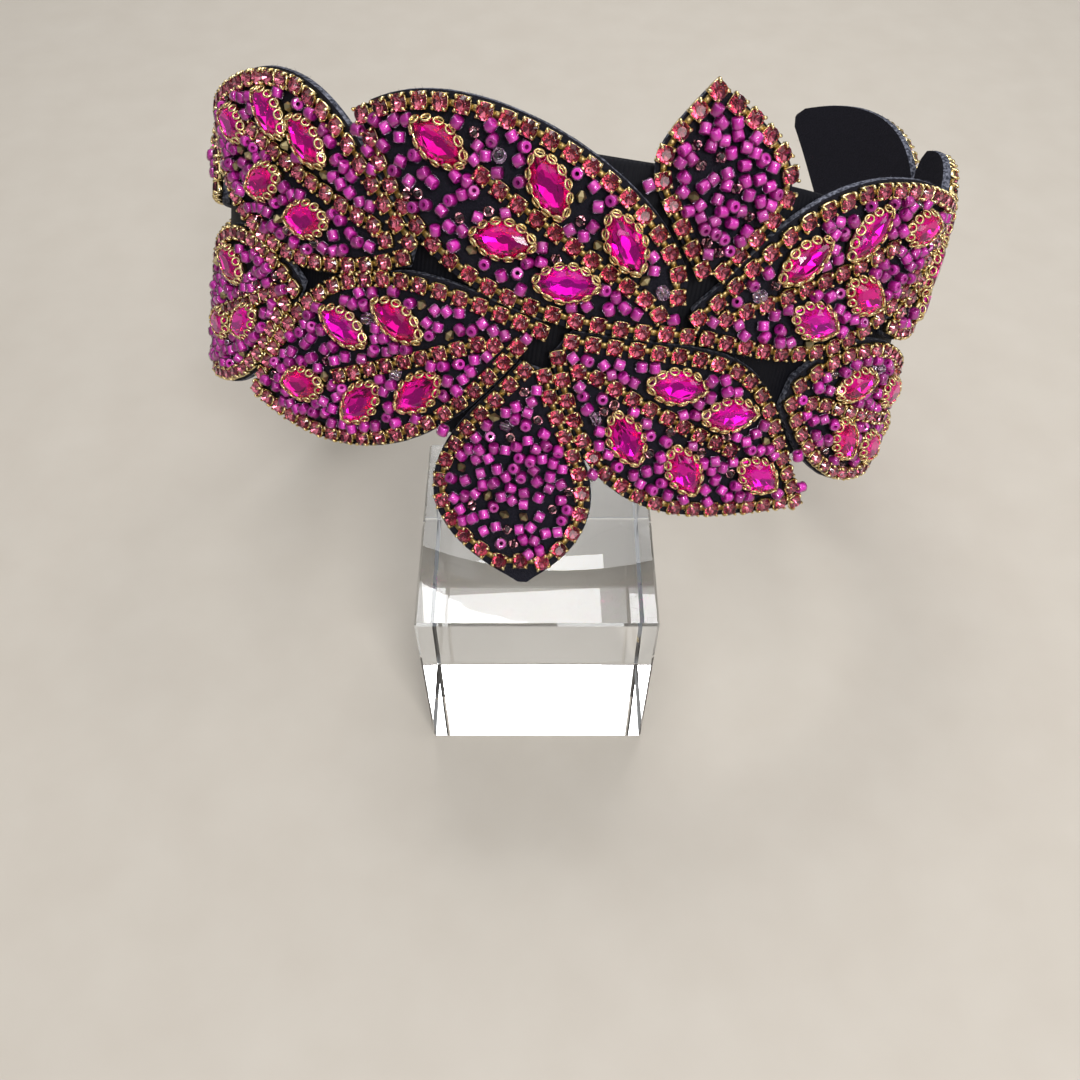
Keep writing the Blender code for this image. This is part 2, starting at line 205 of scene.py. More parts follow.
class Leaf:
    """A leaf's two sides as curves on the strip, and its vein."""

    def __init__(self, row):
        self.name, *marks = row
        root_a, pull_a1, pull_a2, point, pull_b2, pull_b1, root_b, *vein = map(Vector, marks)
        self.sides = ((root_a, pull_a1, pull_a2, point), (root_b, pull_b1, pull_b2, point))
        self.point = point
        self.root = (root_a + root_b) / 2
        self.vein = vein
        self.edge = PETAL_EDGE if self.name == "petal_top" else FELT_EDGE
        self.tip_edge = FELT_EDGE if self.name in RESTS_ON else min(TIP_EDGE, self.edge)
        if self.name in RESTS_ON:
            self.rest_at(RESTS_ON[self.name] + GAP)

    def bend(self, v):
        """How far the lower petal bends forward, and the angle of its face there."""
        if self.name != "petal_bottom":
            return 0.0, 0.0
        beyond = max(PETAL_BENDS_AT - v, 0.0)
        return PETAL_BEND * beyond ** 2, math.atan(2 * PETAL_BEND * beyond)

    def place(self, u, v, lift):
        return on_band(u, v, lift + self.bend(v)[0])

    def seat(self, u, v, lift, turn=0.0, tilt=None):
        """Like the seat on the strip, but on this leaf."""
        rise, angle = self.bend(v)
        lean = Matrix.Rotation(-angle, 4, "X") @ Matrix.Rotation(turn, 4, "Z")
        return seat(u, v, lift + rise, 0.0, lean @ tilt if tilt else lean)

    def rest_at(self, height):
        """Slide the point across the strip until the felt's cut tip is at a height."""
        faces = (FELT_TOP, FELT_TOP - FELT_THICKNESS)
        for _ in range(SLIDES):
            corners = [self.point + reach for reach in self.tip(FELT_EDGE)]
            lowest = min(self.place(*corner, lift).z for corner in corners for lift in faces)
            self.point.y += height - lowest

    def at(self, side, t):
        return bezier(*self.sides[side], t)

    def outward(self, side, t):
        """Unit direction away from the leaf, square to a side."""
        near = self.at(side, min(t + LOOK_AHEAD, 1.0)) - self.at(side, max(t - LOOK_AHEAD, 0.0))
        away = Vector((-near.y, near.x)).normalized()
        other = self.at(1 - side, t if t < CLOSING else STILL_APART)
        return away if away.dot(self.at(side, min(t, CLOSING)) - other) > 0 else -away

    def tip(self, margin):
        """From the point to the two corners of the felt's cut tip."""
        way = (self.point - self.root).normalized()
        square = Vector((-way.y, way.x))
        if square.dot(self.at(0, BROAD) - self.at(1, BROAD)) < 0:
            square = -square
        return [(way + square * BLUNT * sign) * margin for sign in (1, -1)]

    def outline(self, count=60):
        """Points up one side and back down the other."""
        up = [self.at(0, i / count) for i in range(count + 1)]
        down = [self.at(1, i / count) for i in range(count + 1)]
        return up + down[::-1]


leaves = [Leaf(row) for row in LEAVES]
outlines = {leaf.name: np.array(leaf.outline()) for leaf in leaves}
print("leaves:", len(leaves))

# %% [markdown]
# Finishes are written as arithmetic. A Wire is one output in a material's node tree,
# and adding or multiplying wires adds Math nodes, so that a noise can be scaled and
# shifted in one readable line. Everything else goes through Paint.node.

# %% A little arithmetic for materials
# where a Mix node keeps its two colours and its mixed colour
MIX_A = 6
MIX_B = 7
MIX_RESULT = 2


class Wire:
    """One output of a material's nodes, with arithmetic that adds nodes."""

    def __init__(self, paint, socket):
        self.paint = paint
        self.socket = socket

    def maths(self, operation, a, b):
        return self.paint.node("ShaderNodeMath", {"operation": operation}, {0: a, 1: b})

    def __add__(self, other):
        return self.maths("ADD", self, other)

    def __mul__(self, other):
        return self.maths("MULTIPLY", self, other)


class Paint:
    """A material with one Principled shader, and the way to add nodes to it."""

    def __init__(self, name, colour, roughness, **fixed):
        self.material = bpy.data.materials.new(name)
        self.material.use_nodes = True
        self.nodes = self.material.node_tree.nodes
        self.links = self.material.node_tree.links
        self.shader = self.nodes["Principled BSDF"]
        self.feed(self.shader.inputs["Base Color"], colour)
        self.feed(self.shader.inputs["Roughness"], roughness)
        for socket, value in fixed.items():
            self.feed(self.shader.inputs[socket.replace("_", " ")], value)

    def feed(self, socket, value):
        if isinstance(value, Wire):
            self.links.new(value.socket, socket)
        elif isinstance(value, tuple) and len(value) == 3 and socket.type == "RGBA":
            socket.default_value = (*value, 1.0)
        else:
            socket.default_value = value

    def node(self, kind, settings=None, values=None, output=0):
        made = self.nodes.new(kind)
        for name, value in (settings or {}).items():
            setattr(made, name, value)
        for socket, value in (values or {}).items():
            self.feed(made.inputs[socket], value)
        return Wire(self, made.outputs[output])

    def noise(self, scale, detail):
        """Noise in the object's own metres: scale is lumps in a metre."""
        where = self.node("ShaderNodeTexCoord", output="Object")
        values = {"Vector": where, "Scale": scale, "Detail": detail}
        return self.node("ShaderNodeTexNoise", None, values)

    def number(self, name):
        """A number kept at each corner of the mesh."""
        return self.node("ShaderNodeAttribute", {"attribute_name": name}, output="Fac")

    def mix(self, share, a, b):
        """A colour between two others."""
        values = {0: share, MIX_A: a, MIX_B: b}
        return self.node("ShaderNodeMix", {"data_type": "RGBA"}, values, MIX_RESULT)

    def sharpen(self, wire, low, high):
        """Stretch the middle of a number to the whole of 0 to 1."""
        values = {"Value": wire, "From Min": low, "From Max": high}
        return self.node("ShaderNodeMapRange", None, values)

    def shade(self, share, a, b):
        """A base colour that runs between two others."""
        self.feed(self.shader.inputs["Base Color"], self.mix(share, a, b))

    def roughness(self, wire):
        self.feed(self.shader.inputs["Roughness"], wire)

    def bump(self, height, distance, strength=1.0):
        """Relief of a height from 0 to 1, this many millimetres deep."""
        values = {"Height": height, "Distance": distance * MM, "Strength": strength}
        self.feed(self.shader.inputs["Normal"], self.node("ShaderNodeBump", None, values))


print("materials so far:", len(bpy.data.materials))

# %% [markdown]
# A Shape is one small form in millimetres, with a finish number and a smooth or flat
# look for each face. Most of them are walls: rings of corners joined into a skin, as a
# lathe or a drawn wire would leave it.

# %% Shapes
class Shape:
    """Corners and faces of one small form, in millimetres."""

    def __init__(self):
        self.points = []
        self.faces = []
        self.finishes = []
        self.rounded = []

    def face(self, corners, finish, rounded):
        self.faces.append(tuple(corners))
        self.finishes.append(finish)
        self.rounded.append(rounded)

    def facets(self, rows, finish):
        """Flat faces of one finish."""
        for corners in rows:
            self.face(corners, finish, False)

    def wall(self, rings, finish=0, rounded=True, looped=False, open_end=False):
        """Join rings of corners, anticlockwise seen from the last ring, into a skin."""
        start = len(self.points)
        count = len(rings[0])
        self.points += [tuple(point) for ring in rings for point in ring]
        steps = len(rings) if looped else len(rings) - 1
        for low in range(steps):
            high = (low + 1) % len(rings)
            for i in range(count):
                j = (i + 1) % count
                a, b = start + low * count, start + high * count
                self.face((a + i, a + j, b + j, b + i), finish, rounded)
        end = len(self.points)
        if not looped:
            self.facets([range(start, start + count)[::-1]], finish)
            if not open_end:
                self.facets([range(end - count, end)], finish)

    def add(self, other):
        """Take in another shape."""
        start = len(self.points)
        self.points += other.points
        for corners, finish, rounded in zip(other.faces, other.finishes, other.rounded):
            self.face([start + c for c in corners], finish, rounded)


def circle(radius, sides, height=0.0, start=0.0):
    """A ring of corners round the z axis."""
    turns = [start + 2 * math.pi * i / sides for i in range(sides)]
    return [(radius * math.cos(a), radius * math.sin(a), height) for a in turns]


def wire_shape(path, radii, sides, finish=0, looped=False):
    """A wire of changing thickness along a path, with closed ends."""
    path = [Vector(point) for point in path]
    count = len(path)
    rings = []
    side = None
    for i, point in enumerate(path):
        before = path[i - 1] if looped or i else path[0]
        after = path[(i + 1) % count] if looped or i < count - 1 else path[-1]
        way = (after - before).normalized()
        if side is None:
            side = way.orthogonal().normalized()
        side = (side - way * side.dot(way)).normalized()
        other = way.cross(side)
        radius = radii[i] if isinstance(radii, (list, tuple)) else radii
        rings.append([point + (side * x + other * y) for x, y, _ in circle(radius, sides)])
    shape = Shape()
    shape.wall(rings, finish, True, looped)
    return shape


print("corners in a test ring:", len(circle(1.0, 12)))

# %% [markdown]
# Small things are collected in a Pile and joined. Joining copies in plain lists is far
# quicker than making a thousand Blender objects, and it leaves one clean mesh for each
# leaf. Each copy also carries a number, its tone, which the finishes use to make one
# bead a little different from the next. Every piece rides on the one body, the root.

# %% Piles and pieces
class Pile:
    """Copies of small shapes, joined into one mesh."""

    def __init__(self):
        self.copies = []

    def add(self, shape, matrix, tone=0.5):
        self.copies.append((shape, matrix, tone))

    def make(self, name, paints):
        """One object from every copy, riding on the headband's body."""
        points, faces, finishes, rounded, tones = [], [], [], [], []
        for shape, matrix, tone in self.copies:
            start = len(points)
            corners = np.array(shape.points) @ np.array(matrix.to_3x3()).T
            points += ((corners + np.array(matrix.translation)) * MM).tolist()
            faces += [tuple(start + c for c in face) for face in shape.faces]
            finishes += shape.finishes
            rounded += shape.rounded
            tones += [tone] * len(shape.points)
        return new_piece(name, points, faces, paints, finishes, rounded, {"tone": tones})


made_pieces = {}


def triangles(faces):
    return sum(len(face) - 2 for face in faces)


def put(name, data):
    """A new object in the scene."""
    made = bpy.data.objects.new(name, data)
    bpy.context.scene.collection.objects.link(made)
    return made


def new_mesh(name, points, faces, paints):
    mesh = bpy.data.meshes.new(name)
    mesh.from_pydata(points, [], faces)
    for paint in paints:
        mesh.materials.append(paint.material)
    return mesh


def new_piece(name, points, faces, paints, finishes=None, rounded=True, numbers=None):
    """An object from lists of corners in metres and faces."""
    mesh = new_mesh(name, points, faces, paints)
    if finishes:
        mesh.polygons.foreach_set("material_index", finishes)
    flags = rounded if isinstance(rounded, list) else [rounded] * len(faces)
    mesh.polygons.foreach_set("use_smooth", flags)
    for label, values in (numbers or {}).items():
        mesh.attributes.new(label, "FLOAT", "POINT").data.foreach_set("value", values)
    mesh.validate()
    piece = put(name, mesh)
    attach(piece, "root")
    made_pieces[name] = triangles(faces)
    return piece


def dress(piece, slot, *nodes):
    """Hide the solids that a piece stands for. The piece and its finish are not used."""
    if nodes:
        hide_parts(*nodes)


print("pieces so far:", len(made_pieces))

# %% [markdown]
# The leaves are cut from black felt 1.6 mm thick. Felt is a mat of fine wool, so its
# face is a dull near-black with a faint lighter fuzz. Its cut edge is rougher, and it is
# painted paler grey in patches: painted sheen, for there the fibres stand out and catch
# the light. The face and the edge are two finishes on one mesh.

# %% Felt finishes
felt_face = Paint("felt face", (0.012, 0.011, 0.016), 0.95, Specular_IOR_Level=0.15)
fibres = felt_face.noise(2600.0, 4.0)
felt_face.shade(fibres, (0.006, 0.006, 0.010), (0.026, 0.025, 0.036))
felt_face.bump(fibres, 0.25)

felt_cut = Paint("felt cut edge", (0.05, 0.052, 0.07), 0.9, Specular_IOR_Level=0.2)
tufts_and_sheen = felt_cut.noise(1500.0, 5.0)
# the paler grey patches are painted sheen, the light caught by the edge's standing fibres; the
# bump from the same noise is their real roughness
pale = felt_cut.sharpen(tufts_and_sheen, 0.42, 0.68)
felt_cut.shade(pale, (0.030, 0.033, 0.047), (0.24, 0.25, 0.31))
felt_cut.bump(tufts_and_sheen, 0.5)
print("felt finishes:", felt_face.material.name, "and", felt_cut.material.name)

# %% [markdown]
# Each leaf is a grid between its two sides, pushed out by a margin so that felt shows
# outside the chain. Where a neighbour lies close, the margin shrinks to half of the
# space between them. The grid is made twice, for the outer and the inner face, and
# the rim between them gets a row of corners in the middle that bulges a little.

# %% Felt leaves
ROWS = 44
COLUMNS = 8
EDGE_BULGE = 0.12
EDGE_UNEVEN = 0.10
CREASE = math.radians(50)
# places of the two finishes in a felt leaf's list
FACE = 0
CUT = 1


def felt_margin(leaf, place):
    """Felt outside the chain: less where another leaf lies beside it."""
    nearest = min(np.hypot(*(points - np.array(place)).T).min()
                  for name, points in outlines.items() if name != leaf.name)
    return min(leaf.edge, nearest / 2 - GAP)


def felt_rows(leaf):
    rows = []
    for i in range(ROWS):
        t = i / ROWS
        ends = []
        for side in (0, 1):
            place = leaf.at(side, t)
            ends.append(place + leaf.outward(side, t) * felt_margin(leaf, place))
        rows.append(ends)
    margin = min(felt_margin(leaf, leaf.point), leaf.tip_edge)
    rows.append([leaf.point + reach for reach in leaf.tip(margin)])
    return rows


def felt_rim(rows):
    """The felt's outline, once round."""
    return [row[0] for row in rows] + [row[1] for row in rows[::-1]]


def felt_leaf(leaf):
    rows = felt_rows(leaf)
    width = COLUMNS + 1
    points = []
    for lift in (FELT_TOP, FELT_TOP - FELT_THICKNESS):
        for a, b in rows:
            points += [leaf.place(*a.lerp(b, j / COLUMNS), lift) * MM for j in range(width)]
    layer = len(points) // 2
    faces, finishes = [], []
    for i in range(ROWS):
        for j in range(COLUMNS):
            a = i * width + j
            quad = (a, a + 1, a + width + 1, a + width)
            faces += [quad, tuple(layer + c for c in quad[::-1])]
            finishes += [FACE, FACE]
    left = [i * width for i in range(ROWS + 1)]
    right = [i * width + COLUMNS for i in range(ROWS + 1)][::-1]
    rim = left + [ROWS * width + j for j in range(1, COLUMNS)] + right
    rim += range(COLUMNS - 1, 0, -1)
    middle = len(points)
    centre = sum((points[c] for c in rim), Vector()) / len(rim)
    for c in rim:
        half = (points[c] + points[c + layer]) / 2
        bulge = EDGE_BULGE + EDGE_UNEVEN * dice.random()
        points.append(half + (half - centre).normalized() * bulge * MM)
    for k, c in enumerate(rim):
        n = (k + 1) % len(rim)
        d = rim[n]
        faces += [(c, middle + k, middle + n, d),
                  (middle + k, c + layer, d + layer, middle + n)]
        finishes += [CUT, CUT]
    piece = new_piece("felt_leaf_" + leaf.name, points, faces, [felt_face, felt_cut], finishes)
    piece.data.set_sharp_from_angle(angle=CREASE)
    dress(piece, "black_felt", "felt_" + leaf.name)
    return rows


felt_outlines = {}
for leaf in leaves:
    felt_outlines[leaf.name] = felt_rim(felt_leaf(leaf))
print("felt leaves:", len(felt_outlines))

# %% [markdown]
# Loose fibres stand off the cut edge. Each is a needle with three sides, less than a
# millimetre long and thinner than a hair, and a few hundred round each leaf are
# enough to blur the edge.

# %% Loose fibres
FIBRE_RADIUS = 0.035
FIBRE_LENGTH = 0.75
FIBRES_PER_MM = 2.6


def needle():
    shape = Shape()
    shape.points = circle(FIBRE_RADIUS, 3) + [(0, 0, 1)]
    for i in range(3):
        shape.face((i, (i + 1) % 3, 3), 0, True)
    shape.face((2, 1, 0), 0, True)
    return shape


def random_spin():
    """Any turn at all."""
    axis = Vector((dice.gauss(0, 1), dice.gauss(0, 1), dice.gauss(0, 1))).normalized()
    return Matrix.Rotation(dice.uniform(0, 2 * math.pi), 4, axis)


one_fibre = needle()
fuzz = Pile()
for leaf in leaves:
    rim = felt_outlines[leaf.name]
    for a, b in zip(rim, rim[1:]):
        for _ in range(int((b - a).length * FIBRES_PER_MM + dice.random())):
            place = a.lerp(b, dice.random())
            lift = FELT_TOP - dice.random() * FELT_THICKNESS
            length = FIBRE_LENGTH * dice.uniform(0.4, 1.3)
            matrix = leaf.seat(*place, lift) @ random_spin()
            fuzz.add(one_fibre, matrix @ Matrix.Diagonal((1, 1, length, 1)))
# the loose fibres take the cut edge's finish, with its painted sheen
dress(fuzz.make("felt_fibres", [felt_cut]), "black_felt")
print("fibres:", len(fuzz.copies))

# %% [markdown]
# Behind the leaves runs a stiff band covered in black satin. The satin is ribbed
# across the band, and the ribs are far too fine to model, so they are bump: a sine of
# the distance along the band, which the mesh carries as a number at each corner.

# %% Satin band
CORE_TOP = FELT_TOP - FELT_THICKNESS - GAP
CORE_THICKNESS = 2.0
CORE_ARM = 5.0
CORE_RISE_UP = 26.0
CORE_RISE_DOWN = 22.0
CORE_FRONT = 85.0
CORE_ROUND = 6.0
CORE_FULLNESS = 3.5
CORE_END_LEAST = 0.04
CORE_STEP = 1.5
EDGE_STEPS = 6
RIB = 0.9

satin = Paint("ribbed satin", (0.005, 0.005, 0.007), 0.42, Specular_IOR_Level=0.12)
along_band = satin.number("along")
rib_wave = satin.node("ShaderNodeMath", {"operation": "SINE"},
                      {0: along_band * (2 * math.pi / RIB)})
threads = satin.noise(1800.0, 3.0)
satin.shade(threads, (0.003, 0.003, 0.005), (0.009, 0.009, 0.013))
satin.roughness(threads * 0.3 + 0.45)
satin.bump(rib_wave * 0.5 + threads * 0.4, 0.05)


def core_reach(u):
    """How far the band reaches up and down at a place along it."""
    front = 1.0 - min(abs(u) / CORE_FRONT, 1.0) ** CORE_FULLNESS
    to_end = ARM_LENGTH - abs(u + DESIGN_SHIFT)
    end = math.sqrt(max(1.0 - max(1.0 - to_end / CORE_ROUND, 0.0) ** 2, CORE_END_LEAST))
    return (CORE_ARM + CORE_RISE_UP * front) * end, (CORE_ARM + CORE_RISE_DOWN * front) * end


def round_edge(middle, half, start):
    """Half a circle of (v, lift) round one long edge of the band."""
    turns = [start + math.pi * k / EDGE_STEPS for k in range(EDGE_STEPS + 1)]
    return [(middle + half * math.cos(turn), half * math.sin(turn)) for turn in turns]


def satin_band():
    count = round(2 * ARM_LENGTH / CORE_STEP)
    half = CORE_THICKNESS / 2
    shape = Shape()
    rings, numbers = [], []
    for i in range(count + 1):
        u = -ARM_LENGTH - DESIGN_SHIFT + i * 2 * ARM_LENGTH / count
        up, down = core_reach(u)
        ring = round_edge(up - half, half, -math.pi / 2)
        ring += [(-share * down, half) for share in (0.3, 0.6)]
        ring += round_edge(half - down, half, math.pi / 2)
        ring += [(-share * down, -half) for share in (0.6, 0.3)]
        rings.append([on_band(u, v, CORE_TOP - half + lift) * MM for v, lift in ring])
        numbers += [u] * len(ring)
    shape.wall(rings)
    piece = new_piece("satin_band", shape.points, shape.faces, [satin], None, True,
                      {"along": numbers})
    dress(piece, "black_satin", "band_core")


satin_band()
print("satin band triangles:", made_pieces["satin_band"])

# %% [markdown]
# The metal is gold plate on brass. It is bright where it faces the light and olive
# where it doesn't, and slightly uneven, as cheap plating is. The low bars between the
# cups get a darker, olive copy of the gold, which is painted shade. The stones are glass
# with a foiled back: light goes in through the crown, bounces off the coloured foil
# and comes out again. So each stone is modelled with both, a clear tinted crown and
# a mirror-like pavilion under it, and the facets make their own sparkle.

# %% Gold and stone finishes
gold = Paint("gold plate", (0.86, 0.68, 0.34), 0.24, Metallic=1.0)
wear = gold.noise(900.0, 3.0)
gold.shade(gold.sharpen(wear, 0.35, 0.7), (0.92, 0.76, 0.42), (0.74, 0.54, 0.22))
gold.roughness(wear * 0.2 + 0.12)
# a darker, olive copy of the gold for the bars between the cups: painted shade
shaded_gold = Paint("gold in the shade of the cups", (0.42, 0.30, 0.12), 0.38, Metallic=1.0)
shaded_gold.shade(shaded_gold.noise(900.0, 3.0), (0.30, 0.20, 0.07), (0.56, 0.42, 0.18))


def tinted_glass(name, colour, roughness=0.02, bending=1.52):
    return Paint(name, colour, roughness, Transmission_Weight=1.0, IOR=bending)


def foil(name, light, dark):
    """A mirror backing that changes a little from stone to stone."""
    paint = Paint(name, light, 0.12, Metallic=1.0)
    paint.shade(paint.number("tone"), dark, light)
    return paint


rose_glass = tinted_glass("rose glass", (0.92, 0.58, 0.66))
rose_foil = foil("rose foil", (0.72, 0.28, 0.36), (0.40, 0.12, 0.17))
pink_glass = tinted_glass("pink glass", (1.0, 0.22, 0.80), 0.02, 1.42)
pink_foil = foil("pink foil", (1.0, 0.01, 0.78), (0.90, 0.01, 0.40))
print("materials so far:", len(bpy.data.materials))

# %% [markdown]
# Cup chain is a row of square cups, each with a round stone held by four claws, one
# at each corner, and soldered to the next cup by a low rounded bar. The stone has an
# eight-sided table, a ring of crown facets and a pointed back.

# %% One cup and its stone
STONE_RADIUS = 1.57
TABLE_RADIUS = 0.88
GIRDLE_HEIGHT = 1.40
TABLE_HEIGHT = 2.15
POINT_HEIGHT = 0.35
TABLE_SIDES = 8
CUP_CORNER = 4.5
CLAW_RADII = [0.28, 0.34, 0.32, 0.30, 0.18]
# half the width of a bar, its middle's height and half its thickness
BAR_SECTION = (0.62, 0.42, 0.30)
# places of the finishes in a chain's list, the first three also in a set stone's
GOLD = 0
GLASS = 1
FOIL = 2
# the darker gold with painted shade, for the bars
SHADED_GOLD = 3


def round_stone():
    """A chaton: table, crown facets and a pointed back."""
    shape = Shape()
    sides = 2 * TABLE_SIDES
    table = circle(TABLE_RADIUS, TABLE_SIDES, TABLE_HEIGHT, math.pi / TABLE_SIDES)
    girdle = circle(STONE_RADIUS, sides, GIRDLE_HEIGHT)
    shape.points = table + girdle + [(0, 0, POINT_HEIGHT)]
    point = len(shape.points) - 1
    shape.facets([range(TABLE_SIDES)], GLASS)
    for i in range(TABLE_SIDES):
        a, b, c = (TABLE_SIDES + (2 * i + k) % sides for k in range(3))
        shape.facets(((i, a, b), (i, b, c), (i, c, (i + 1) % TABLE_SIDES)), GLASS)
        shape.facets(((a, point, b), (b, point, c)), FOIL)
    return shape


def rounded_square(half, height, sides=16):
    """A square ring of corners with soft corners, as a squashed circle."""
    ring = []
    for x, y, _ in circle(1.0, sides, 0.0, math.pi / sides):
        reach = (abs(x) ** CUP_CORNER + abs(y) ** CUP_CORNER) ** (-1.0 / CUP_CORNER)
        ring.append((x * reach * half, y * reach * half, height))
    return ring


def claw_path(turn):
    """A claw's way up a cup's corner and over the stone, from (reach, height) pairs."""
    steps = ((1.76, 0.3), (1.86, 1.2), (1.78, 1.7), (1.50, 1.92), (1.24, 1.98))
    return [(r * math.cos(turn), r * math.sin(turn), z) for r, z in steps]


def stone_cup():
    """A cup from (half side, height) pairs, up its outside and down its inside."""
    shape = Shape()
    walls = ((1.42, 0.0), (1.50, 0.6), (1.54, 1.18), (1.42, 1.2), (1.32, 0.7))
    shape.wall([rounded_square(half, z) for half, z in walls], GOLD, open_end=True)
    for k in range(4):
        shape.add(wire_shape(claw_path(math.pi / 4 + k * math.pi / 2), CLAW_RADII, 6, GOLD))
    shape.add(round_stone())
    return shape


def link_bar():
    """A unit bar along x, 1 mm long, low and rounded."""
    shape = Shape()
    width, middle, rise = BAR_SECTION
    section = [(width * x, middle + rise * y) for x, y, _ in circle(1.0, 8)]
    rings = [[(x, y, z) for y, z in section] for x in (-0.5, 0.5)]
    # the bar takes the darker gold, whose shade is painted in
    shape.wall(rings, SHADED_GOLD)
    return shape


chain_paints = [gold, rose_glass, rose_foil, shaded_gold]
one_cup = stone_cup()
one_bar = link_bar()
print("triangles in a cup:", triangles(one_cup.faces))

# %% [markdown]
# The chain starts with a cup on the leaf's point and runs down both sides, with a
# straight piece for the vein. Cups are spaced evenly and turned to follow it. Where two
# leaves meet, a cup that would sit on another is left out, as a maker snips the chain.
# Round the lower petal's point the chain makes one sweep, a little short of the tip.

# %% Chains round the leaves
CUP_PITCH = 4.29
CUP_CLEARANCE = 2.8
CUP_WOBBLE = 0.05
BAR_LESS = 2.6
SIDE_POINTS = 80
VEIN_FROM = 0.05
SWEEP_FROM = 4.2
SWEEP_SHORT = 2.5
taken = []


def spaced(path):
    """Places for cups at even distances along a path."""
    lengths = [0.0]
    for a, b in zip(path, path[1:]):
        lengths.append(lengths[-1] + (b - a).length)
    count = max(round(lengths[-1] / CUP_PITCH), 1)
    out, i = [], 0
    for k in range(count + 1):
        goal = lengths[-1] * k / count
        while i < len(path) - 2 and lengths[i + 1] < goal:
            i += 1
        part = (goal - lengths[i]) / max(lengths[i + 1] - lengths[i], 1e-9)
        out.append(path[i].lerp(path[i + 1], min(part, 1.0)))
    return out


def lay_chain(pile, leaf, path):
    """Set cups along a path on a leaf, with bars between them."""
    places = spaced(path)
    last = None
    for i, place in enumerate(places):
        before, after = places[max(i - 1, 0)], places[min(i + 1, len(places) - 1)]
        way = after - before
        turn = math.atan2(way.y, way.x)
        if last is not None:
            gap = place - last
            bar = leaf.seat(*((place + last) / 2), FELT_TOP, math.atan2(gap.y, gap.x))
            pile.add(one_bar, bar @ Matrix.Diagonal((gap.length - BAR_LESS, 1, 1, 1)))
        last = None
        if any((place - other).length <= CUP_CLEARANCE for other in taken):
            continue
        taken.append(place)
        wobble = Matrix.Rotation(dice.gauss(0, CUP_WOBBLE), 4, "X")
        wobble = wobble @ Matrix.Rotation(dice.gauss(0, CUP_WOBBLE), 4, "Y")
        pile.add(one_cup, leaf.seat(*place, FELT_TOP, turn, wobble), dice.random())
        last = place


def chain_paths(leaf):
    """From the point down either side, or round the lower petal in one sweep."""
    shares = [1.0 - i / SIDE_POINTS for i in range(SIDE_POINTS + 1)]
    sides = [[leaf.at(side, share) for share in shares] for side in (0, 1)]
    if leaf.name != "petal_bottom":
        return sides
    for path in sides:
        while (path[0] - leaf.point).length < SWEEP_FROM:
            path.pop(0)
    lowest = leaf.point - (leaf.point - leaf.root).normalized() * SWEEP_SHORT
    return [sides[0][::-1] + [lowest] + sides[1]]


for leaf in leaves:
    chain = Pile()
    for path in chain_paths(leaf):
        lay_chain(chain, leaf, path)
    if leaf.vein:
        lay_chain(chain, leaf, [leaf.at(1, VEIN_FROM), *leaf.vein])
    piece = chain.make("cup_chain_" + leaf.name, chain_paints)
    dress(piece, "gold_cups", "chain_" + leaf.name)
print("cups:", len(taken))

# %% [markdown]
# The large stones are pointed ovals. Each sits in a gold wall topped by a lace of
# open rings that lean over its edge. The outline is two arcs that meet at the ends;
# everything else, walls, facets and rings, is worked out from that outline.

# %% One set stone
OVAL_LENGTH = 12.4
OVAL_WIDTH = 6.7
OVAL_SIDES = 20
WALL_SIDES = 32
BLUNT_END = 0.18
LACE_RINGS = 12
LACE_RADIUS = 0.82
LACE_STRETCH = 1.08
LACE_WIRE = 0.24
LACE_HEIGHT = 2.3
LACE_LEAN = math.radians(52)
LACE_STEPS = 240


def oval(share, height, sides=OVAL_SIDES, start=0.5):
    """A ring of corners on the pointed oval, shrunk by a share."""
    half_length, half_width = OVAL_LENGTH / 2, OVAL_WIDTH / 2
    radius = (half_length ** 2 + half_width ** 2) / (2 * half_width)
    ring = []
    for i in range(sides):
        angle = 2 * math.pi * (i + start) / sides
        x = half_length * math.cos(angle)
        y = math.sqrt(radius ** 2 - x ** 2) - (radius - half_width)
        y = math.copysign(max(y, BLUNT_END), math.sin(angle))
        ring.append((x * share, y * share, height))
    return ring


def oval_stone():
    """Table, two rows of crown facets, and a keeled foil back."""
    shape = Shape()
    half = OVAL_SIDES // 2
    girdle = oval(0.97, 1.9)
    crown = oval(0.80, 2.75, half, 1.0)
    table = oval(0.52, 3.3, half, 0.5)
    back = oval(0.62, 0.95, half, 1.0)
    keel = oval(0.25, 0.45, half, 0.5)
    shape.points = girdle + crown + table + back + keel
    c, t, b, k = (OVAL_SIDES + n * half for n in range(4))
    shape.facets([range(t, t + half)], GLASS)
    shape.facets([range(k, k + half)[::-1]], FOIL)
    for i in range(half):
        j = (i + 1) % half
        low, mid, high = 2 * i, 2 * i + 1, (2 * i + 2) % OVAL_SIDES
        shape.facets(((low, mid, c + i), (mid, high, c + i), (c + i, high, c + j),
                      (t + i, c + i, t + j), (c + i, c + j, t + j)), GLASS)
        shape.facets(((mid, low, b + i), (high, mid, b + i), (b + i, b + j, high),
                      (k + i, k + j, b + i), (b + i, k + j, b + j)), FOIL)
    return shape


def lace_ring(point, outward, along):
    """A small open ring that leans in over the stone's edge."""
    up = Vector((0, 0, 1)) * math.sin(LACE_LEAN) - outward * math.cos(LACE_LEAN)
    path = [point + along * LACE_STRETCH * x + up * y for x, y, _ in circle(LACE_RADIUS, 12)]
    return wire_shape(path, LACE_WIRE, 6, GOLD, True)


